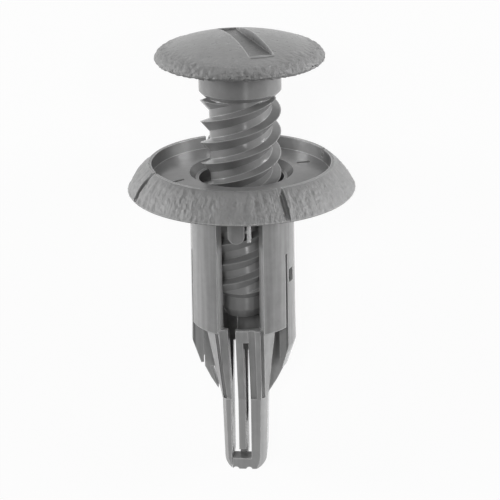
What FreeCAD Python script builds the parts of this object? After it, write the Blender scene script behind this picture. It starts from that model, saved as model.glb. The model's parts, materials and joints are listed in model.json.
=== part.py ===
import FreeCAD, Part
import math
import os

# A two-piece plastic push retainer: a screw with a domed head and a coarse three-start thread,
# part way into a flanged grommet with a windowed barrel, side tangs and a slotted nose.
# Millimetres. Each piece is drawn upright round its own axis, with +Z toward the head, the flange
# rim near z = 0 and the window side facing -Y, and both are then laid down together.

# screw head
head_d = 14.6
head_rise = 2.05
head_rim_round = 0.3
dome_r = 20.0
head_roll = 1.1
head_roll_points = ((0.03, 0.3), (0.2, 0.57), (0.55, 0.86))
head_slot_w = 2.1
head_slot_floor = 1.25
head_slot_reach = 5.1
head_slot_turn = 22.0
head_slot_shift = 0.25

# screw collar and thread
collar_d = 7.1
collar_len = 2.8
collar_round = 0.35
thread_d = 7.0
thread_depth = 0.8
thread_pitch = 1.88
thread_starts = 3
thread_upper_flank = 0.27
thread_lower_flank = 0.92
thread_top = 8.3
thread_end = -9.1
thread_core_bite = 0.3
thread_run_out = 1.5
thread_phase = 53.0
tip_d = 4.0
tip_end = -12.1
tip_shoulder = 0.65
tip_corner = 1.15
tip_corner_bite = 0.35

# how far the screw stands out of its seat in the open position
travel = 9.8

# flange
flange_d = 20.0
flange_seat_z = 0.1
flange_seat_w = 0.8
flange_seat_slope = 0.25
flange_rim_round = 0.1
gate_flat = 0.08
flange_web = 1.15
band_points = ((0.17, 0.52), (0.42, 1.03), (0.78, 1.5), (1.24, 1.98))
recess_gap = 0.53
recess_floor = 1.6
recess_drop = 0.25
ridge_h = 0.88
ridge_w = 0.3
mouth_d = 9.1
mouth_depth = 0.9
flange_slot_w = 0.42
flange_slot_depth = 0.55
flange_slot_stop = 0.12
flange_slot_turn = 27.0
flange_slots = 4
dash_len = 1.3
dash_w = 0.32
dash_depth = 0.2
dash_r = 6.0

# barrel
bore_clear = 0.22
barrel_wall = 0.88
barrel_flare = 0.1
barrel_end = -12.3
window_deg = 51.5
window_turn = 0.8
window_bottom = -12.0
tongue_left = -0.92
tongue_w = 1.45
tongue_end = -3.6
peg_left = 0.72
peg_w = 0.36
peg_end = -3.45
tooth_w = 0.7
tooth_reach = 0.7
tooth_clear = 0.12
tooth_h = 0.42

# side tangs
tang_deg = 48.0
tang_turn = 6.0
tang_slit = 0.3
tang_slit_top = -5.3
tang_flare = 0.05
tang_bevel_top = -14.3
tang_end = -16.6
tang_bevel = 0.72
tang_notch_z = -7.55
tang_notch_h = 1.3
tang_notch_w = 0.85
tang_notch_turn = 20.0
tang_notch_depth = 0.45

# legs and nose
leg_half_top = 3.05
leg_half_nose = 2.2
leg_half_tip = 2.05
leg_taper_end = -19.8
nose_end = -27.2
nose_round = 1.15
nose_depth_top = 4.2
nose_depth = 2.1
nose_depth_tip = 1.95
fin_t = 1.2
fin_half = 3.6
fin_bend = -17.2
fin_hip = 3.05
fin_hip_z = -18.35
nose_left_trim = 0.28
nose_belly = 1.2
nose_tip_share = 1.1
cavity_half = 1.15
cavity_shelf_r = 2.65
cavity_end = -22.6
slot_end = -25.7
left_slot_edge = -1.12
left_slot_w = 0.66
left_slot_back_top = -15.6
right_slot_edge = 0.2
right_slot_w = 0.48
right_slot_top = -13.3
right_slot_back_top = -16.6
rib_end = -25.1
pocket_end = -26.1
pocket_y = -0.6
parting_w = 0.05
fin_slit = ((-3.06, -17.2), (-2.72, -17.2), (-1.88, -20.9), (-2.6, -20.9), (-2.26, -19.95))
rib_grooves = ((-2.15, -1.67, 0.28, 0.45), (-1.52, -1.36, 0.66, 0.2),
               (1.92, 1.85, 0.26, 0.4), (0.98, 0.98, 0.56, 0.2))
scallop_w = 0.3
scallop_d = 0.22

# values that follow
head_r = head_d / 2
head_seat = recess_floor + travel
head_rim = head_seat + head_rim_round
dome_reach = head_r - head_roll
thread_r = thread_d / 2
root_r = thread_r - thread_depth
lead = thread_pitch * thread_starts
tip_r = tip_d / 2
flange_r = flange_d / 2
recess_r = head_r + recess_gap
ridge_top = recess_floor + ridge_h
ridge_r = recess_r + ridge_w
rim_z = flange_seat_z + flange_rim_round
flange_under = recess_floor - flange_web
bore_r = thread_r + bore_clear
barrel_r = bore_r + barrel_wall
barrel_low_r = barrel_r + barrel_flare
tang_r = barrel_low_r + tang_flare
tongue_mid = tongue_left + tongue_w / 2
mouth_r = mouth_d / 2
FAR = flange_d
AXIS = FreeCAD.Vector(0, 0, 1)
ORIGIN = FreeCAD.Vector(0, 0, 0)


def at(x, y, z):
    return FreeCAD.Vector(x, y, z)


def line(a, b):
    return Part.LineSegment(a, b).toShape()


def polygon(points):
    return Part.Wire(Part.makePolygon(points + [points[0]]).Edges)


def arc(a, b, c):
    return Part.Arc(a, b, c).toShape()


def turned(edges):
    """A solid of revolution from a closed outline in the XZ plane."""
    return Part.Face(Part.Wire(edges)).revolve(ORIGIN, AXIS, 360)


def turned_polygon(profile):
    corners = [at(r, 0, z) for r, z in profile]
    return Part.Face(polygon(corners)).revolve(ORIGIN, AXIS, 360)


def block(x0, x1, y0, y1, z0, z1):
    return Part.makeBox(x1 - x0, y1 - y0, z1 - z0, at(x0, y0, z0))


def wedge(middle_deg, width_deg, z0, z1):
    """A pie slice round the axis, its middle at an angle counted from +X."""
    half = math.radians(width_deg / 2)
    middle = math.radians(middle_deg)
    corners = [at(0, 0, z0)]
    for turn in (-half, 0, half):
        corners.append(at(FAR * math.cos(middle + turn), FAR * math.sin(middle + turn), z0))
    return Part.Face(polygon(corners)).extrude(at(0, 0, z1 - z0))


def spun(shape, angle):
    return shape.copy().rotate(ORIGIN, AXIS, angle)


def rotated_copies(shape, count):
    return [spun(shape, 360 / count * i) for i in range(count)]


def head_blank():
    """The lens-shaped head: a flat dome that rolls over into a thin rim."""
    top = head_rim + head_rise
    centre = top - dome_r
    shoulder_z = centre + math.sqrt(dome_r ** 2 - dome_reach ** 2)
    half_reach = dome_reach / 2
    half_z = centre + math.sqrt(dome_r ** 2 - half_reach ** 2)
    corners = [at(0, 0, top), at(0, 0, head_seat), at(head_r - head_rim_round, 0, head_seat),
               at(head_r, 0, head_rim)]
    for inward, up in head_roll_points:
        corners.append(at(head_r - inward, 0, head_rim + up))
    corners.append(at(dome_reach, 0, shoulder_z))
    edges = [line(a, b) for a, b in zip(corners, corners[1:])]
    edges.append(arc(corners[-1], at(half_reach, 0, half_z), corners[0]))
    return turned(edges)


def driver_slot():
    """A flat-blade slot with a level floor that runs out on the dome."""
    floor = head_rim + head_slot_floor
    slot = block(-head_slot_w / 2, head_slot_w / 2, -head_slot_reach, head_slot_reach,
                 floor, floor + head_rise)
    slot = spun(slot, head_slot_turn)
    slot.translate(at(head_slot_shift, 0, 0))
    return slot


def collar():
    """The plain collar under the head, with the short neck down to the thread."""
    r = collar_d / 2
    z0 = head_seat - collar_len
    return turned_polygon([
        (0, head_seat),
        (r, head_seat),
        (r, z0 + collar_round),
        (r - collar_round, z0),
        (root_r, z0),
        (root_r, thread_top),
        (0, thread_top),
    ])


def thread_rib():
    """One start of the buttress thread: its section swept along a helix, its root in the core."""
    height = thread_top - thread_end + 2 * thread_run_out
    buried = thread_core_bite / thread_depth
    profile = [
        at(root_r - thread_core_bite, 0, -thread_lower_flank * (1 + buried)),
        at(thread_r, 0, 0),
        at(root_r - thread_core_bite, 0, thread_upper_flank * (1 + buried)),
    ]
    path = Part.Wire(Part.makeHelix(lead, height, thread_r).Edges)
    sweep = Part.BRepOffsetAPI.MakePipeShell(path)
    sweep.setFrenetMode(True)
    sweep.add(polygon(profile), False, False)
    sweep.build()
    sweep.makeSolid()
    rib = spun(sweep.shape(), thread_phase - 360 * thread_run_out / lead)
    rib.translate(at(0, 0, thread_end - thread_run_out))
    return rib


def thread():
    """The core with its three ribs, trimmed under the collar and tapered off at the lower end."""
    length = thread_top - thread_end + 2 * thread_run_out
    core = Part.makeCylinder(root_r, length, at(0, 0, thread_end - thread_run_out))
    envelope = turned_polygon([
        (0, thread_top),
        (thread_d, thread_top),
        (thread_d, thread_end + thread_d - root_r),
        (root_r, thread_end),
        (0, thread_end),
    ])
    return core.fuse(rotated_copies(thread_rib(), thread_starts)).common(envelope)


def screw_tip():
    """The plain shoulder and bullet end below the thread."""
    return turned_polygon([
        (0, thread_end),
        (root_r, thread_end),
        (tip_r, thread_end - tip_shoulder),
        (tip_r, tip_end + tip_corner),
        (tip_r - tip_corner_bite, tip_end + tip_corner_bite),
        (tip_r - tip_corner, tip_end),
        (0, tip_end),
    ])


def make_screw():
    body = head_blank().cut(driver_slot())
    body = body.fuse([collar(), thread(), screw_tip()])
    return body.removeSplitter()


def flange():
    """The flange: hollow underside, seat, convex band, ridge and the recess for the head."""
    seat_in = flange_r - flange_rim_round - flange_seat_w
    band = [(flange_r - inward, up) for inward, up in band_points]
    body = turned_polygon([
        (0, flange_under),
        (seat_in - flange_seat_slope, flange_under),
        (seat_in, flange_seat_z),
        (flange_r - flange_rim_round, flange_seat_z),
        (flange_r, rim_z),
    ] + band + [
        (ridge_r, ridge_top),
        (recess_r, ridge_top),
        (recess_r, recess_floor - recess_drop),
        (mouth_r, recess_floor),
        (0, recess_floor),
    ])
    mouth = turned_polygon([
        (0, recess_floor + mouth_depth),
        (mouth_r, recess_floor + mouth_depth),
        (mouth_r, recess_floor),
        (bore_r, recess_floor - mouth_depth),
        (bore_r, -FAR),
        (0, -FAR),
    ])
    cutters = [mouth]
    for i in range(flange_slots):
        angle = flange_slot_turn + 360 / flange_slots * i
        cutters.append(spun(flange_slot(), angle))
        cutters.append(spun(floor_dash(), angle))
    return body.cut(cutters)


def flange_slot():
    """One radial groove through the ridge and down the band, just short of the rim."""
    half = flange_slot_w / 2
    deep = flange_slot_depth * math.cos(math.pi / 4)
    out, up = band_points[1]
    corners = [
        at(recess_r - ridge_w, -half, recess_floor - recess_drop / 2),
        at(ridge_r, -half, ridge_top - flange_slot_depth),
        at(flange_r - out - deep, -half, up - deep),
        at(flange_r - flange_slot_stop, -half, rim_z + flange_slot_stop),
        at(flange_r + ridge_w, -half, rim_z + flange_slot_stop),
        at(flange_r + ridge_w, -half, ridge_top + ridge_w),
        at(recess_r - ridge_w, -half, ridge_top + ridge_w),
    ]
    return Part.Face(polygon(corners)).extrude(at(0, flange_slot_w, 0))


def floor_dash():
    return block(dash_r - dash_len / 2, dash_r + dash_len / 2, -dash_w / 2, dash_w / 2,
                 recess_floor - recess_drop - dash_depth, recess_floor + dash_depth)


def barrel():
    """The tube under the flange and the two side tangs that carry on below its end."""
    tube = turned_polygon([
        (bore_r, flange_under + flange_web / 2),
        (barrel_r, flange_under + flange_web / 2),
        (barrel_r, tongue_end),
        (barrel_low_r, barrel_end),
        (bore_r, barrel_end),
    ])
    cutters = []
    for middle in (90, 270):
        cutters.append(wedge(middle + window_turn, window_deg, barrel_end - barrel_wall, flange_under))
    half_slit = tang_slit / 2
    slit = block(bore_r - tang_slit, FAR, -half_slit, half_slit, tang_end - tang_slit, tang_slit_top)
    for middle in tang_middles():
        for side in (-1, 1):
            cutters.append(spun(slit, middle + side * tang_deg / 2))
    return tube.fuse(tangs()).cut(cutters + tang_notches())


def tang_middles():
    return (-tang_turn, 180 - tang_turn)


def tangs():
    """The free lower ends of the two side tangs, bevelled."""
    ring = turned_polygon([
        (bore_r + tang_flare, barrel_end),
        (barrel_low_r, barrel_end),
        (tang_r, tang_bevel_top),
        (tang_r - tang_bevel, tang_end),
        (bore_r + tang_flare, tang_end),
    ])
    slices = [wedge(middle, tang_deg, tang_end, barrel_end) for middle in tang_middles()]
    return [ring.common(piece) for piece in slices]


def tang_notches():
    half_w = tang_notch_w / 2
    half_h = tang_notch_h / 2
    notch = block(barrel_r - tang_notch_depth, FAR, -half_w, half_w,
                  tang_notch_z - half_h, tang_notch_z + half_h)
    return [spun(notch, middle - tang_notch_turn) for middle in (0, 180)]


def tongue(facing_deg):
    """The rounded tongue at the top of a window, with its tooth in the thread and a thin peg beside it."""
    half = tongue_w / 2
    right = tongue_left + tongue_w
    top = flange_under + flange_web / 2
    outline = Part.Wire([
        line(at(tongue_left, 0, top), at(right, 0, top)),
        line(at(right, 0, top), at(right, 0, tongue_end + half)),
        arc(at(right, 0, tongue_end + half), at(tongue_mid, 0, tongue_end),
            at(tongue_left, 0, tongue_end + half)),
        line(at(tongue_left, 0, tongue_end + half), at(tongue_left, 0, top)),
    ])
    plank = Part.Face(outline).extrude(at(0, -FAR, 0))
    peg = block(peg_left, peg_left + peg_w, -FAR, 0, peg_end, top)
    shell = turned_polygon([
        (bore_r, top),
        (barrel_r, top),
        (barrel_r, tongue_end),
        (bore_r, tongue_end),
    ])
    pieces = [plank.common(shell), peg.common(shell), tooth(facing_deg)]
    return spun(pieces[0].fuse(pieces[1:]), facing_deg - 270)


def tooth(facing_deg):
    """A short tooth, drawn at -Y, that stands in the middle of the groove of the side it faces."""
    crest_z = thread_end + (facing_deg - thread_phase) / 360 * lead
    flat = thread_pitch - thread_upper_flank - thread_lower_flank
    groove_z = crest_z - thread_lower_flank - flat / 2
    lowest = tongue_end + tooth_h
    while groove_z < lowest - thread_pitch / 2:
        groove_z = groove_z + thread_pitch
    while groove_z > lowest + thread_pitch / 2:
        groove_z = groove_z - thread_pitch
    root = -(bore_r + barrel_wall / 2)
    tip = -(bore_r - tooth_reach)
    corners = [
        at(-tooth_w / 2, root, groove_z + tooth_h / 2 + tooth_reach),
        at(-tooth_w / 2, tip, groove_z + tooth_h / 2),
        at(-tooth_w / 2, tip, groove_z - tooth_h / 2),
        at(-tooth_w / 2, root, groove_z - tooth_h / 2 - tooth_clear),
    ]
    return Part.Face(polygon(corners)).extrude(at(tooth_w, 0, 0))


def lofted(sections):
    """A block through rectangles given as (z, x0, x1, y0, y1)."""
    wires = []
    for z, x0, x1, y0, y1 in sections:
        wires.append(polygon([at(x0, y0, z), at(x1, y0, z), at(x1, y1, z), at(x0, y1, z)]))
    return Part.makeLoft(wires, True, True)


def nose_outline():
    """The front view of the nose, with its rounded end, as a block through the whole depth."""
    corner = math.pi / 4
    low = nose_end + nose_round
    side = nose_round * math.cos(corner)
    right = leg_half_tip
    left = nose_left_trim - leg_half_tip
    outline = Part.Wire([
        line(at(-FAR, -FAR, 0), at(FAR, -FAR, 0)),
        line(at(FAR, -FAR, 0), at(FAR, -FAR, leg_taper_end)),
        line(at(FAR, -FAR, leg_taper_end), at(right, -FAR, low)),
        arc(at(right, -FAR, low), at(right - nose_round + side, -FAR, low - side),
            at(right - nose_round, -FAR, nose_end)),
        line(at(right - nose_round, -FAR, nose_end), at(left + nose_round, -FAR, nose_end)),
        arc(at(left + nose_round, -FAR, nose_end), at(left + nose_round - side, -FAR, low - side),
            at(left, -FAR, low)),
        line(at(left, -FAR, low), at(-FAR, -FAR, leg_taper_end)),
        line(at(-FAR, -FAR, leg_taper_end), at(-FAR, -FAR, 0)),
    ])
    return Part.Face(outline).extrude(at(0, 2 * FAR, 0))


def legs():
    """The tapered lower cage: front and back plates, side fins, centre ribs and slotted nose."""
    plates = lofted([
        (window_bottom, -leg_half_top, leg_half_top, -nose_depth_top, nose_depth_top),
        (leg_taper_end, nose_left_trim - leg_half_nose, leg_half_nose, -nose_depth, nose_depth),
        (nose_end, nose_left_trim - leg_half_tip, leg_half_tip, -nose_depth_tip, nose_depth_tip),
    ])
    envelope = turned_polygon([
        (0, window_bottom),
        (barrel_r, window_bottom),
        (nose_belly * leg_half_nose, leg_taper_end),
        (nose_belly * leg_half_tip, nose_end + nose_round),
        (nose_tip_share * leg_half_tip, nose_end),
        (0, nose_end),
    ])
    fins = Part.Face(polygon([
        at(-fin_half, -fin_t / 2, window_bottom),
        at(fin_half, -fin_t / 2, window_bottom),
        at(fin_half, -fin_t / 2, fin_bend),
        at(fin_hip, -fin_t / 2, fin_hip_z),
        at(leg_half_nose, -fin_t / 2, leg_taper_end),
        at(-leg_half_nose, -fin_t / 2, leg_taper_end),
        at(-fin_hip, -fin_t / 2, fin_hip_z),
        at(-fin_half, -fin_t / 2, fin_bend),
    ])).extrude(at(0, fin_t, 0))
    solid = plates.common(envelope).common(nose_outline()).fuse(fins)
    return solid.cut([cavity()] + slots() + slits() + grooves() + scallops())


def cavity():
    """The hollow that the screw's tip drives into, spreading the legs."""
    ledge = window_bottom - barrel_wall
    return turned_polygon([
        (0, 0),
        (bore_r, 0),
        (bore_r, window_bottom),
        (cavity_shelf_r, ledge),
        (cavity_half, leg_taper_end + barrel_wall),
        (cavity_half, cavity_end),
        (0, cavity_end - cavity_half / 2),
    ])


def slots():
    """The two see-through slots, longer at the back, and the pocket between them at the tip."""
    left_end = left_slot_edge + left_slot_w
    right_end = right_slot_edge + right_slot_w
    return [
        block(left_slot_edge, left_end, -FAR, 0, slot_end, window_bottom + barrel_wall),
        block(left_slot_edge, left_end, pocket_y, FAR, nose_end - 1, left_slot_back_top),
        block(right_slot_edge, right_end, -FAR, 0, slot_end, right_slot_top),
        block(right_slot_edge, right_end, pocket_y, FAR, nose_end - 1, right_slot_back_top),
        block(left_slot_edge, right_end, -FAR, pocket_y, pocket_end, rib_end),
    ]


def slits():
    """The fine slits that part the left leg from the rest, and the one beside the left fin."""
    middle = left_slot_edge + left_slot_w / 2
    above = block(middle - parting_w / 2, middle + parting_w / 2, 0, FAR,
                  left_slot_back_top, window_bottom + barrel_wall)
    below = block(left_slot_edge - parting_w, left_slot_edge, -FAR, parting_w,
                  nose_end - 1, slot_end + parting_w)
    corners = [at(x, -FAR, z) for x, z in fin_slit]
    beside_fin = Part.Face(polygon(corners)).extrude(at(0, 2 * FAR, 0))
    return [above, below, beside_fin]


def grooves():
    """Fine upright grooves that leave ribs on the front and back plates."""
    cutters = []
    for top_x, low_x, width, deep in rib_grooves:
        sections = []
        for z, depth, x in ((window_bottom, nose_depth_top, top_x), (leg_taper_end, nose_depth, low_x)):
            sections.append((z, x - width / 2, x + width / 2, -depth - deep, -depth + deep))
        front = lofted(sections)
        cutters.append(front)
        cutters.append(front.mirror(ORIGIN, at(0, 1, 0)))
    return cutters


def gate_mark():
    """The small moulding flat on the rim's hidden side, parallel to the floor as the part lies."""
    reach = flange_r / 2
    cutter = block(-reach, reach, -gate_flat, reach, -reach, reach)
    cutter.rotate(ORIGIN, at(1, 0, 0), -lying_angle())
    cutter.translate(at(0, flange_r, rim_z))
    return cutter


def scallops():
    """Shallow hollows across the tip that carry on the slots."""
    middles = (left_slot_edge + left_slot_w / 2, right_slot_edge + right_slot_w / 2)
    hollows = []
    for x in middles:
        place = at(x, -FAR, nose_end - scallop_w + scallop_d)
        hollows.append(Part.makeCylinder(scallop_w, 2 * FAR, place, at(0, 1, 0)))
    return hollows


def make_grommet():
    tongues = [tongue(facing_deg) for facing_deg in (90, 270)]
    return flange().cut(gate_mark()).fuse([barrel(), legs()] + tongues).removeSplitter()


def lying_angle():
    """The axis's rise from level when the rim's flat and the nose's back edge touch the floor."""
    across = flange_r - nose_depth_tip
    along = rim_z - nose_end
    return math.degrees(math.atan(across / along) - math.asin(gate_flat / math.hypot(across, along)))


def laid_down(shapes):
    """Both pieces tipped back together until the flange rim and the nose's back touch the floor."""
    fall = lying_angle()
    laid = [shape.copy().rotate(ORIGIN, at(1, 0, 0), fall - 90) for shape in shapes]
    whole = Part.makeCompound(laid).optimalBoundingBox(False, False)
    shift = at(-(whole.XMin + whole.XMax) / 2, -(whole.YMin + whole.YMax) / 2, -whole.ZMin)
    for shape in laid:
        shape.translate(shift)
    return laid


os.makedirs("parts", exist_ok=True)
screw, grommet = laid_down([make_screw(), make_grommet()])
screw.exportStep("parts/screw.step")
grommet.exportStep("parts/grommet.step")
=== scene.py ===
import json
import math

import bmesh
import bpy
from mathutils import Matrix, Vector, noise


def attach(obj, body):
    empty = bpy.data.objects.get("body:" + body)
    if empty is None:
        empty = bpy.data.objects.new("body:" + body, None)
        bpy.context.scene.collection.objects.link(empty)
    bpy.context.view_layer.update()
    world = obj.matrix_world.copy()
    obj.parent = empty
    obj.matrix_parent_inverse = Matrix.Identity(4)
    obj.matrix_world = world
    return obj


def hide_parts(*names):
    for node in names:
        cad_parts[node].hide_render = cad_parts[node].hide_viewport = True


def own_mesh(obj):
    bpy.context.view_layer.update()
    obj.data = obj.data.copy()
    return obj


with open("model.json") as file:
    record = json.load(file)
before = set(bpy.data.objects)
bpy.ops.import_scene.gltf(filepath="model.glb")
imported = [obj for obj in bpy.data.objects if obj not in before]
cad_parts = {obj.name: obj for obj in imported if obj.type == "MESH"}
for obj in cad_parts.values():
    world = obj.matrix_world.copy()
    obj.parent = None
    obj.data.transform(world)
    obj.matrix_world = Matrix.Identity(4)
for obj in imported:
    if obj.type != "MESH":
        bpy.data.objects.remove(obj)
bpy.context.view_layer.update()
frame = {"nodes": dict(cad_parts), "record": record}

MM = 0.001

# the part's own upright frame, found from the barrel's mount:
# its +Z is toward the head and its -Y is the side with the window
BARREL_MOUNT_Z = -1.575
mount = next(m for m in frame["record"]["mounts"] if m["name"] == "barrel")
axis_up = -Vector(mount["axis"])
front_up = Vector((0, axis_up.z, -axis_up.y))
side = Vector((1, 0, 0))
origin = Vector(mount["pos_m"]) - axis_up * BARREL_MOUNT_Z * MM
UPRIGHT = Matrix((side, front_up, axis_up)).transposed().to_4x4()
UPRIGHT.translation = origin
TO_UPRIGHT = UPRIGHT.inverted()

# the camera, in the upright frame; lengths are in millimetres here and below
CAMERA_DISTANCE = 130.0
CAMERA_HEIGHT_DEG = 22.3
CAMERA_SIDE_DEG = 4.5
CAMERA_ROLL_DEG = 0.94
CAMERA_AIM_Z = -7.0
CAMERA_CLIP_M = (0.005, 10)
PHOTO_PX = 500
FOCAL_PX = 1450.4
AIM_PX = (242.7, 261.0)
SENSOR_MM = 36.0

# the lamps: place in the upright frame, width of the disc, watts
LIGHTS = {
    "left_light": ((-220, -24, 45), 80, 0.42),
    "right_light": ((225, -20, 50), 80, 0.46),
    "top_light": ((0, 45, 240), 50, 0.12),
    "front_light": ((-40, -230, 100), 60, 0.11),
    "key_light": ((66, -173, -65), 9, 0.03),
}
LIGHT_AIM_Z = -5
WORLD_STRENGTH = 0.28
FLOOR_HALF_M = 1.0
FLOOR_GREY = 0.85
FLOOR_GLOW = 0.93

# grain cut into the rims: its depth, the noise's scales and weights, where it starts and is full,
# and the longest edge that carries it
SPARK_DEPTH = 0.13
SPARK_SCALES = (2.7, 5.2)
STREAK_DEPTH = 0.14
STREAK_TURNS = 21
STREAK_STRETCH = 0.7
STREAK_FINE = 3.6
GRAIN_LEVEL = 0.5
COARSE_SHARE = 0.6
FINE_SHARE = 0.35
HEAD_SEAT = 11.4
SEAT_MARGIN = 0.1
RIM_RADII = (5.2, 6.9)
BAND_RADII = (8.2, 8.8)
BAND_HEIGHTS = (0.12, 0.32)
BAND_FOOT = 0.1
GRAIN_EDGE = 0.14
REFINE_ROUNDS = 8
WELD = 0.0001
KEPT_NORMAL = "kept_normal"

# the legs: where they are cut from the flange, and how their tops run up into it
LEG_TOP = 0.43
LEG_TOP_MARGIN = 0.001
LEG_RING = 6.0
LEG_REACH = -10.0
LEG_ROOT = 0.5
WALL_MIDDLE = 4.16
ROOT_SHRINK = 0.8
LEGS = (("grommet_left_leg", -1, 0.79), ("grommet_right_leg", 1, 0.73))

# the plastics: their darker and paler colour, and the range of their roughness
SCREW_GREYS = (0.185, 0.25)
GROMMET_GREYS = (0.20, 0.27)
ROUGHNESS = (0.19, 0.26)
ROUGHNESS_SCALE = 1.2
MOTTLE_SCALE = 0.9
FINE_SCALE = 4.0

# bump heights of the grain, and widths of rounded edges and of the painted highlight along edges
FINE_GRAIN = 0.006
HEAD_GRAIN = 0.16
BAND_GRAIN = 0.2
EDGE_ROUND = 0.1
EDGE_HIGHLIGHT_WIDTH = 0.2
EDGE_HIGHLIGHT_TURN = (0.01, 0.12)

# the driver slot in the dome
SLOT_TURN = math.radians(22)
SLOT_SHIFT = 0.25
SLOT_HALF = 1.05
SLOT_FLOOR = 12.95
SLOT_SOFT = 0.04
SLOT_LEVEL = 0.03
SLOT_LIP = 0.07

# where the bump and the tones of the two plastics start and are full
DOME_RADII = (5.6, 7.2)
STREAK_RADII = (7.9, 8.6)
STREAK_HEIGHTS = (0.0, 0.2)
UNDER_FLANGE = (0.0, 0.4)
INSIDE_RADII = (4.45, 4.57)
SCREW_FOOT = (0.0, 2.0)

# changes of tone, as shares of the step between a plastic's two colours
MOTTLE_TONE = 0.5
GRAIN_TONE = 2.5
GRAIN_ROUGHNESS = 3.6
# painted shade on the slot's floor, where its walls shade it
SLOT_FLOOR_SHADE = -1.8
# painted highlight along the slot's top edges
SLOT_LIP_HIGHLIGHT = 0.9
# painted light: lightens the screw's foot and the barrel's inside, which lie in shade
PAINTED_FILL_TONE = 1.8
# painted highlight along every edge
EDGE_HIGHLIGHT_TONE = 2.6
DRAW_TONE = 2.2
DRAW_MIDDLE = 0.45
DRAW_STRETCH = 0.04


def place(x, y, z):
    """A point given in millimetres in the upright frame, as a point of the scene."""
    return UPRIGHT @ Vector((x * MM, y * MM, z * MM))


def turn(x, y, z):
    """A direction given in the upright frame, as a direction of the scene."""
    return UPRIGHT.to_3x3() @ Vector((x, y, z))


def make_camera():
    """The camera at the photo's angle, turned a little so that the part has its place in it."""
    high = math.radians(CAMERA_HEIGHT_DEG)
    aside = math.radians(CAMERA_SIDE_DEG)
    forward = turn(-math.sin(aside) * math.cos(high), math.cos(aside) * math.cos(high),
                   -math.sin(high))
    right = turn(math.cos(aside), math.sin(aside), 0)
    up = right.cross(forward)
    place_at = place(0, 0, CAMERA_AIM_Z) - forward * CAMERA_DISTANCE * MM
    centre = PHOTO_PX / 2
    forward = (forward + right * (centre - AIM_PX[0]) / FOCAL_PX
               + up * (AIM_PX[1] - centre) / FOCAL_PX)
    forward.normalize()
    roll = math.radians(CAMERA_ROLL_DEG)
    leaning = right * math.cos(roll) - up * math.sin(roll)
    leaning = (leaning - forward * leaning.dot(forward)).normalized()
    above = leaning.cross(forward)
    data = bpy.data.cameras.new("camera")
    data.sensor_width = SENSOR_MM
    data.lens = SENSOR_MM * FOCAL_PX / PHOTO_PX
    data.clip_start, data.clip_end = CAMERA_CLIP_M
    camera = bpy.data.objects.new("camera", data)
    camera.matrix_world = Matrix((leaning, above, -forward)).transposed().to_4x4()
    camera.matrix_world.translation = place_at
    bpy.context.scene.collection.objects.link(camera)
    bpy.context.scene.camera = camera


class Nodes:
    """Short ways to add and join the nodes of one material."""

    def __init__(self, name):
        self.material = bpy.data.materials.new(name)
        self.material.use_nodes = True
        self.tree = self.material.node_tree
        self.tree.nodes.clear()

    def add(self, kind, **settings):
        node = self.tree.nodes.new(kind)
        for key, value in settings.items():
            setattr(node, key, value)
        return node

    def join(self, output, target):
        self.tree.links.new(output, target)

    def math(self, operation, first, second=None):
        node = self.add("ShaderNodeMath", operation=operation)
        for slot, value in enumerate((first, second)):
            if value is None:
                continue
            if isinstance(value, (int, float)):
                node.inputs[slot].default_value = value
            else:
                self.join(value, node.inputs[slot])
        return node.outputs[0]

    def upright_mm(self):
        """Position on the piece in the upright frame, in millimetres."""
        coords = self.add("ShaderNodeTexCoord")
        mapping = self.add("ShaderNodeMapping", vector_type="TEXTURE")
        mapping.inputs["Location"].default_value = UPRIGHT.translation
        mapping.inputs["Rotation"].default_value = UPRIGHT.to_euler()
        mapping.inputs["Scale"].default_value = (MM, MM, MM)
        self.join(coords.outputs["Object"], mapping.inputs["Vector"])
        return mapping.outputs["Vector"]

    def noise(self, vector, scale, detail=3.0, rough=0.6):
        node = self.add("ShaderNodeTexNoise")
        node.inputs["Scale"].default_value = scale
        node.inputs["Detail"].default_value = detail
        node.inputs["Roughness"].default_value = rough
        self.join(vector, node.inputs["Vector"])
        return node.outputs["Fac"]

    def spread(self, value, low, high):
        """A noise's middle half, spread over the range from low to high."""
        node = self.add("ShaderNodeMapRange")
        node.inputs["From Min"].default_value = 0.25
        node.inputs["From Max"].default_value = 0.75
        node.inputs["To Min"].default_value = low
        node.inputs["To Max"].default_value = high
        self.join(value, node.inputs["Value"])
        return node.outputs["Result"]


def split(n, here):
    """The three coordinates of a position."""
    node = n.add("ShaderNodeSeparateXYZ")
    n.join(here, node.inputs[0])
    return node.outputs


def from_axis(n, x, y):
    """Distance from the part's axis."""
    return n.math("SQRT", n.math("ADD", n.math("MULTIPLY", x, x), n.math("MULTIPLY", y, y)))


def ramp_up(n, value, start, end):
    """0 below start, 1 above end."""
    node = n.add("ShaderNodeMapRange", interpolation_type="SMOOTHSTEP")
    node.inputs["From Min"].default_value = start
    node.inputs["From Max"].default_value = end
    n.join(value, node.inputs["Value"])
    return node.outputs["Result"]


def edge_highlight(n):
    """0 on a plain face, 1 on an edge, where a rounded normal leaves the face's own: where the
    painted highlight goes.
    """
    bevel = n.add("ShaderNodeBevel", samples=8)
    bevel.inputs["Radius"].default_value = EDGE_HIGHLIGHT_WIDTH * MM
    face = n.add("ShaderNodeNewGeometry")
    same = n.add("ShaderNodeVectorMath", operation="DOT_PRODUCT")
    n.join(face.outputs["Normal"], same.inputs[0])
    n.join(bevel.outputs["Normal"], same.inputs[1])
    return ramp_up(n, n.math("SUBTRACT", 1.0, same.outputs["Value"]), *EDGE_HIGHLIGHT_TURN)


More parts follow.
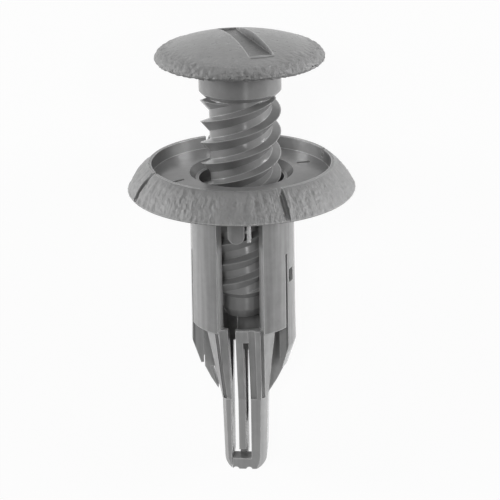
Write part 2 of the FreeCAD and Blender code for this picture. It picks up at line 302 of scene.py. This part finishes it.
def plastic(name, greys, relief):
    """Grey moulded nylon with a painted highlight along its edges. The relief function gives the
    grain's height and a change of tone, painted shade and light among it.
    """
    n = Nodes(name)
    here = n.upright_mm()
    mottle = n.spread(n.noise(here, MOTTLE_SCALE, 2.0), 0.0, 1.0)
    coarse, shade = relief(n, here)
    fine = n.math("MULTIPLY", n.noise(here, FINE_SCALE, 1.0, 0.5), FINE_GRAIN)
    height = n.math("ADD", fine, coarse)
    tone = n.math("ADD", n.math("MULTIPLY", mottle, MOTTLE_TONE),
                  n.math("MULTIPLY", coarse, GRAIN_TONE))
    # painted highlight: edges are made paler
    shade = n.math("ADD", shade, n.math("MULTIPLY", edge_highlight(n), EDGE_HIGHLIGHT_TONE))
    mix = n.add("ShaderNodeMix", data_type="RGBA", clamp_factor=False)
    for socket, grey in zip("AB", greys):
        mix.inputs[socket].default_value = (grey, grey, grey, 1)
    n.join(n.math("ADD", tone, shade), mix.inputs["Factor"])
    bump = n.add("ShaderNodeBump")
    bump.inputs["Strength"].default_value = 1.0
    bump.inputs["Distance"].default_value = MM
    n.join(height, bump.inputs["Height"])
    bevel = n.add("ShaderNodeBevel", samples=4)
    bevel.inputs["Radius"].default_value = EDGE_ROUND * MM
    n.join(bevel.outputs["Normal"], bump.inputs["Normal"])
    shader = n.add("ShaderNodeBsdfPrincipled")
    n.join(mix.outputs["Result"], shader.inputs["Base Color"])
    rough = n.spread(n.noise(here, ROUGHNESS_SCALE, 1.0), *ROUGHNESS)
    rough = n.math("ADD", rough, n.math("MULTIPLY", coarse, GRAIN_ROUGHNESS))
    n.join(rough, shader.inputs["Roughness"])
    n.join(bump.outputs["Normal"], shader.inputs["Normal"])
    out = n.add("ShaderNodeOutputMaterial")
    n.join(shader.outputs["BSDF"], out.inputs["Surface"])
    return n.material


def head_relief(n, here):
    """Spark grain on the dome, deeper toward its rim. The slot's floor has painted shade and its
    edges a painted highlight, and the lower part of the screw, inside the barrel, is lightened
    with painted light, as it lies in shade."""
    x, y, z = split(n, here)
    on_head = ramp_up(n, z, HEAD_SEAT - SEAT_MARGIN, HEAD_SEAT)
    rim = n.math("ADD", n.math("MULTIPLY", ramp_up(n, from_axis(n, x, y), *DOME_RADII), 0.7), 0.3)
    pits = n.noise(here, 2.6, 3.0, 0.75)
    grain = n.math("MULTIPLY", n.math("MULTIPLY", pits, on_head),
                   n.math("MULTIPLY", rim, HEAD_GRAIN))
    across = n.math("ADD", n.math("MULTIPLY", x, math.cos(SLOT_TURN)),
                    n.math("MULTIPLY", y, math.sin(SLOT_TURN)))
    across = n.math("ABSOLUTE", n.math("SUBTRACT", across, SLOT_SHIFT * math.cos(SLOT_TURN)))
    inside = n.math("SUBTRACT", 1.0, ramp_up(n, across, SLOT_HALF - SLOT_SOFT, SLOT_HALF))
    level = n.math("ABSOLUTE", n.math("SUBTRACT", z, SLOT_FLOOR))
    level = n.math("LESS_THAN", level, SLOT_LEVEL)
    # painted highlight: a thin pale line along the slot's top edges
    lip_highlight = n.math("ABSOLUTE", n.math("SUBTRACT", across, SLOT_HALF))
    lip_highlight = n.math("LESS_THAN", lip_highlight, SLOT_LIP)
    lip_highlight = n.math("MULTIPLY", lip_highlight, n.math("GREATER_THAN", z, SLOT_FLOOR + 0.05))
    # painted shade: the slot's floor is darkened
    painted_floor_shade = n.math("MULTIPLY", n.math("MULTIPLY", inside, level), SLOT_FLOOR_SHADE)
    shade = n.math("ADD", n.math("MULTIPLY", lip_highlight, SLOT_LIP_HIGHLIGHT), painted_floor_shade)
    # painted light on the screw's lower part, in the barrel's shade
    painted_light_foot = n.math("SUBTRACT", 1.0, ramp_up(n, z, *SCREW_FOOT))
    return grain, n.math("ADD", shade, n.math("MULTIPLY", painted_light_foot, PAINTED_FILL_TONE))


def grommet_relief(n, here):
    """Streaks that run down the flange's band, and fine draw lines on the barrel and legs.
    The barrel's shaded inside is lightened with painted light."""
    x, y, z = split(n, here)
    radius = from_axis(n, x, y)
    on_band = n.math("MULTIPLY", ramp_up(n, radius, *STREAK_RADII), ramp_up(n, z, *STREAK_HEIGHTS))
    turned = n.add("ShaderNodeCombineXYZ")
    angle = n.math("ARCTAN2", y, x)
    for slot, (value, scale) in enumerate(((angle, 12.0), (radius, 0.55), (z, 0.35))):
        n.join(n.math("MULTIPLY", value, scale), turned.inputs[slot])
    streaks = n.noise(turned.outputs[0], 2.2, 3.0, 0.7)
    pits = n.noise(here, 3.0, 2.0, 0.6)
    both = n.math("ADD", n.math("MULTIPLY", streaks, 0.75), n.math("MULTIPLY", pits, 0.25))
    drawn = n.add("ShaderNodeVectorMath", operation="MULTIPLY")
    n.join(here, drawn.inputs[0])
    drawn.inputs[1].default_value = (1, 1, DRAW_STRETCH)
    lines = n.math("SUBTRACT", n.noise(drawn.outputs[0], 2.2, 1.0, 0.5), DRAW_MIDDLE)
    below = n.math("SUBTRACT", 1.0, ramp_up(n, z, *UNDER_FLANGE))
    shade = n.math("MULTIPLY", n.math("MULTIPLY", lines, below), DRAW_TONE)
    # painted light on the barrel's shaded inside
    painted_light_inside = n.math("SUBTRACT", 1.0, ramp_up(n, radius, *INSIDE_RADII))
    painted_light_inside = n.math("MULTIPLY", painted_light_inside, below)
    shade = n.math("ADD", shade, n.math("MULTIPLY", painted_light_inside, PAINTED_FILL_TONE))
    return n.math("MULTIPLY", n.math("MULTIPLY", both, on_band), BAND_GRAIN), shade


def floor_material():
    """White to the camera and in gloss, with the object's shadow kept."""
    n = Nodes("floor")
    path = n.add("ShaderNodeLightPath")
    seen = n.math("MAXIMUM", path.outputs["Is Camera Ray"], path.outputs["Is Glossy Ray"])
    seen = n.math("MAXIMUM", seen, path.outputs["Is Transmission Ray"])
    diffuse = n.add("ShaderNodeBsdfDiffuse")
    diffuse.inputs["Color"].default_value = (FLOOR_GREY, FLOOR_GREY, FLOOR_GREY, 1)
    glow = n.add("ShaderNodeEmission")
    glow.inputs["Strength"].default_value = 1.0
    mix = n.add("ShaderNodeMixShader")
    n.join(n.math("MULTIPLY", seen, FLOOR_GLOW), mix.inputs["Fac"])
    n.join(diffuse.outputs["BSDF"], mix.inputs[1])
    n.join(glow.outputs["Emission"], mix.inputs[2])
    out = n.add("ShaderNodeOutputMaterial")
    n.join(mix.outputs["Shader"], out.inputs["Surface"])
    return n.material


def make_floor():
    half = FLOOR_HALF_M
    mesh = bpy.data.meshes.new("floor")
    corners = [(-half, -half, 0), (half, -half, 0), (half, half, 0), (-half, half, 0)]
    mesh.from_pydata(corners, [], [(0, 1, 2, 3)])
    floor = bpy.data.objects.new("floor", mesh)
    bpy.context.scene.collection.objects.link(floor)
    floor.data.materials.append(floor_material())


def area_light(name, at_mm, size_mm, watts):
    data = bpy.data.lights.new(name, "AREA")
    data.shape = "DISK"
    data.size = size_mm * MM
    data.energy = watts
    light = bpy.data.objects.new(name, data)
    light.location = place(*at_mm)
    aim = place(0, 0, LIGHT_AIM_Z) - light.location
    light.rotation_euler = aim.to_track_quat("-Z", "Y").to_euler()
    bpy.context.scene.collection.objects.link(light)


def make_lights():
    for name, (at_mm, size_mm, watts) in LIGHTS.items():
        area_light(name, at_mm, size_mm, watts)
    world = bpy.data.worlds.new("world")
    world.use_nodes = True
    background = world.node_tree.nodes["Background"]
    background.inputs["Color"].default_value = (1, 1, 1, 1)
    background.inputs["Strength"].default_value = WORLD_STRENGTH
    bpy.context.scene.world = world


def upright(point):
    """A point of the scene, as millimetres in the upright frame."""
    return (TO_UPRIGHT @ point) / MM


def rise(value, start, end):
    """0 below start, 1 above end, straight between."""
    return min(1.0, max(0.0, (value - start) / (end - start)))


def head_rim(point):
    """How strongly the spark grain cuts the head here: all round its rim, not on the middle."""
    if point.z < HEAD_SEAT - SEAT_MARGIN:
        return 0.0
    return rise(math.hypot(point.x, point.y), *RIM_RADII)


def flange_band(point):
    """How strongly the streaks cut the flange's band, with the seat under its rim left flat."""
    if point.z < BAND_FOOT:
        return 0.0
    return rise(math.hypot(point.x, point.y), *BAND_RADII) * rise(point.z, *BAND_HEIGHTS)


def grain_depth(depth, coarse, fine):
    return depth * (GRAIN_LEVEL + COARSE_SHARE * coarse + FINE_SHARE * fine)


def spark(point):
    """Depth of the head's grain, pitted like a spark-eroded mould."""
    coarse, fine = (noise.noise(point * scale) for scale in SPARK_SCALES)
    return grain_depth(SPARK_DEPTH, coarse, fine)


def streak(point):
    """Depth of the flange's grain, drawn out down the band."""
    angle = math.atan2(point.y, point.x)
    radius = math.hypot(point.x, point.y)
    lines = noise.noise(Vector((math.cos(angle) * STREAK_TURNS, math.sin(angle) * STREAK_TURNS,
                                radius * STREAK_STRETCH)))
    return grain_depth(STREAK_DEPTH, lines, noise.noise(point * STREAK_FINE))


def kept_mesh(node):
    """The node's mesh as one welded skin, with its shading normals kept on its corners."""
    source = frame["nodes"][node].data
    bm = bmesh.new()
    bm.from_mesh(source)
    layer = bm.loops.layers.float_vector.new(KEPT_NORMAL)
    bm.faces.ensure_lookup_table()
    for face, polygon in zip(bm.faces, source.polygons):
        for step, loop in enumerate(face.loops):
            loop[layer] = source.corner_normals[polygon.loop_start + step].vector
    bmesh.ops.remove_doubles(bm, verts=bm.verts, dist=WELD * MM)
    return bm


def triangulate(bm):
    bmesh.ops.triangulate(bm, faces=[face for face in bm.faces if len(face.verts) > 3])


def open_edges(bm):
    return [edge for edge in bm.edges if len(edge.link_faces) == 1]


def refine(bm, weight):
    """Split the edges that carry grain until none is long."""
    for _ in range(REFINE_ROUNDS):
        longest = []
        for edge in bm.edges:
            if edge.calc_length() < GRAIN_EDGE * MM:
                continue
            start, end = edge.verts[0].co, edge.verts[1].co
            if max(weight(upright(co)) for co in (start, (start + end) / 2, end)) > 0:
                longest.append(edge)
        if not longest:
            break
        bmesh.ops.subdivide_edges(bm, edges=longest, cuts=1)
        triangulate(bm)


def cut_grain(bm, weight, depth):
    """Press the grain into the surface, so that the outline shows it too."""
    refine(bm, weight)
    bm.normal_update()
    moves = []
    for vert in bm.verts:
        point = upright(vert.co)
        if weight(point) > 0:
            press = -weight(point) * max(0.0, depth(point)) * MM
            moves.append((vert, vert.normal * press))
    for vert, move in moves:
        vert.co += move


def add_piece(name, bm, weight, body, material):
    """A piece from the mesh: true normals where it has grain, the kept ones elsewhere."""
    bm.normal_update()
    layer = bm.loops.layers.float_vector[KEPT_NORMAL]
    normals = []
    for face in bm.faces:
        face.smooth = True
        for loop in face.loops:
            grained = weight is not None and weight(upright(loop.vert.co)) > 0
            normals.append(loop.vert.normal.copy() if grained else Vector(loop[layer]))
    mesh = bpy.data.meshes.new(name)
    bm.to_mesh(mesh)
    bm.free()
    mesh.normals_split_custom_set(normals)
    mesh.attributes.remove(mesh.attributes[KEPT_NORMAL])
    mesh.materials.clear()
    mesh.materials.append(material)
    piece = bpy.data.objects.new(name, mesh)
    bpy.context.scene.collection.objects.link(piece)
    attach(piece, body)
    return piece


def hanging(bm):
    """The sets of joined faces that hang below the flange inside the ring."""
    below = set()
    for face in bm.faces:
        points = [upright(vert.co) for vert in face.verts]
        inside = all(math.hypot(point.x, point.y) < LEG_RING for point in points)
        if inside and max(point.z for point in points) < LEG_TOP + LEG_TOP_MARGIN:
            below.add(face)
    groups = []
    while below:
        group = set()
        queue = [below.pop()]
        while queue:
            face = queue.pop()
            group.add(face)
            for edge in face.edges:
                for other in edge.link_faces:
                    if other in below:
                        below.remove(other)
                        queue.append(other)
        groups.append(group)
    return groups


def close_holes(bm):
    bmesh.ops.holes_fill(bm, edges=open_edges(bm), sides=0)
    triangulate(bm)


def root_leg(bm):
    """Run the leg's top up into the flange, a little thinner."""
    made = bmesh.ops.extrude_edge_only(bm, edges=open_edges(bm))["geom"]
    narrow = 1 - (1 - ROOT_SHRINK) / 5
    for vert in (item for item in made if isinstance(item, bmesh.types.BMVert)):
        point = upright(vert.co)
        radius = math.hypot(point.x, point.y)
        slim = (WALL_MIDDLE + (radius - WALL_MIDDLE) * ROOT_SHRINK) / radius
        vert.co = place(point.x * slim, point.y * slim * narrow, point.z + LEG_ROOT)
    close_holes(bm)


def take_legs(bm):
    """Cut the legs off the grommet's mesh. Returns them as meshes of their own, left one first."""
    near = [face for face in bm.faces
            if all(math.hypot(p.x, p.y) < LEG_RING for p in (upright(v.co) for v in face.verts))]
    parts = set(near)
    for face in near:
        parts.update(face.verts)
        parts.update(face.edges)
    bmesh.ops.bisect_plane(bm, geom=list(parts), plane_co=place(0, 0, LEG_TOP),
                           plane_no=turn(0, 0, 1), dist=WELD * MM)
    triangulate(bm)
    bm.faces.index_update()
    legs = []
    gone = set()
    for group in hanging(bm):
        points = [upright(vert.co) for face in group for vert in face.verts]
        if min(point.z for point in points) > LEG_REACH:
            continue
        gone.update(face.index for face in group)
        leg = bm.copy()
        keep = {face.index for face in group}
        leg.faces.ensure_lookup_table()
        other = [face for face in leg.faces if face.index not in keep]
        bmesh.ops.delete(leg, geom=other, context="FACES")
        root_leg(leg)
        legs.append((sum(point.x for point in points) / len(points), leg))
    taken = [face for face in bm.faces if face.index in gone]
    bmesh.ops.delete(bm, geom=taken, context="FACES")
    close_holes(bm)
    return [leg for middle, leg in sorted(legs, key=lambda item: item[0])]


def spread_leg(leg):
    """Gives the leg a mesh of its own; on the real clip the leg leans outward as the screw goes
    down.
    """
    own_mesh(leg)


def make_screw():
    material = plastic("screw_plastic", SCREW_GREYS, head_relief)
    bm = kept_mesh("screw")
    cut_grain(bm, head_rim, spark)
    piece = add_piece("retainer_screw", bm, head_rim, "screw", material)
    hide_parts("screw")


def make_grommet():
    material = plastic("grommet_plastic", GROMMET_GREYS, grommet_relief)
    bm = kept_mesh("grommet")
    legs = take_legs(bm)
    cut_grain(bm, flange_band, streak)
    piece = add_piece("grommet_flange", bm, flange_band, "grommet", material)
    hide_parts("grommet")
    for (name, way, keep), leg in zip(LEGS, legs):
        piece = add_piece(name, leg, None, "grommet", material)
        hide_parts("grommet")
        spread_leg(piece)


bpy.context.scene.view_settings.view_transform = "Standard"
make_camera()
make_lights()
make_floor()
make_screw()
make_grommet()
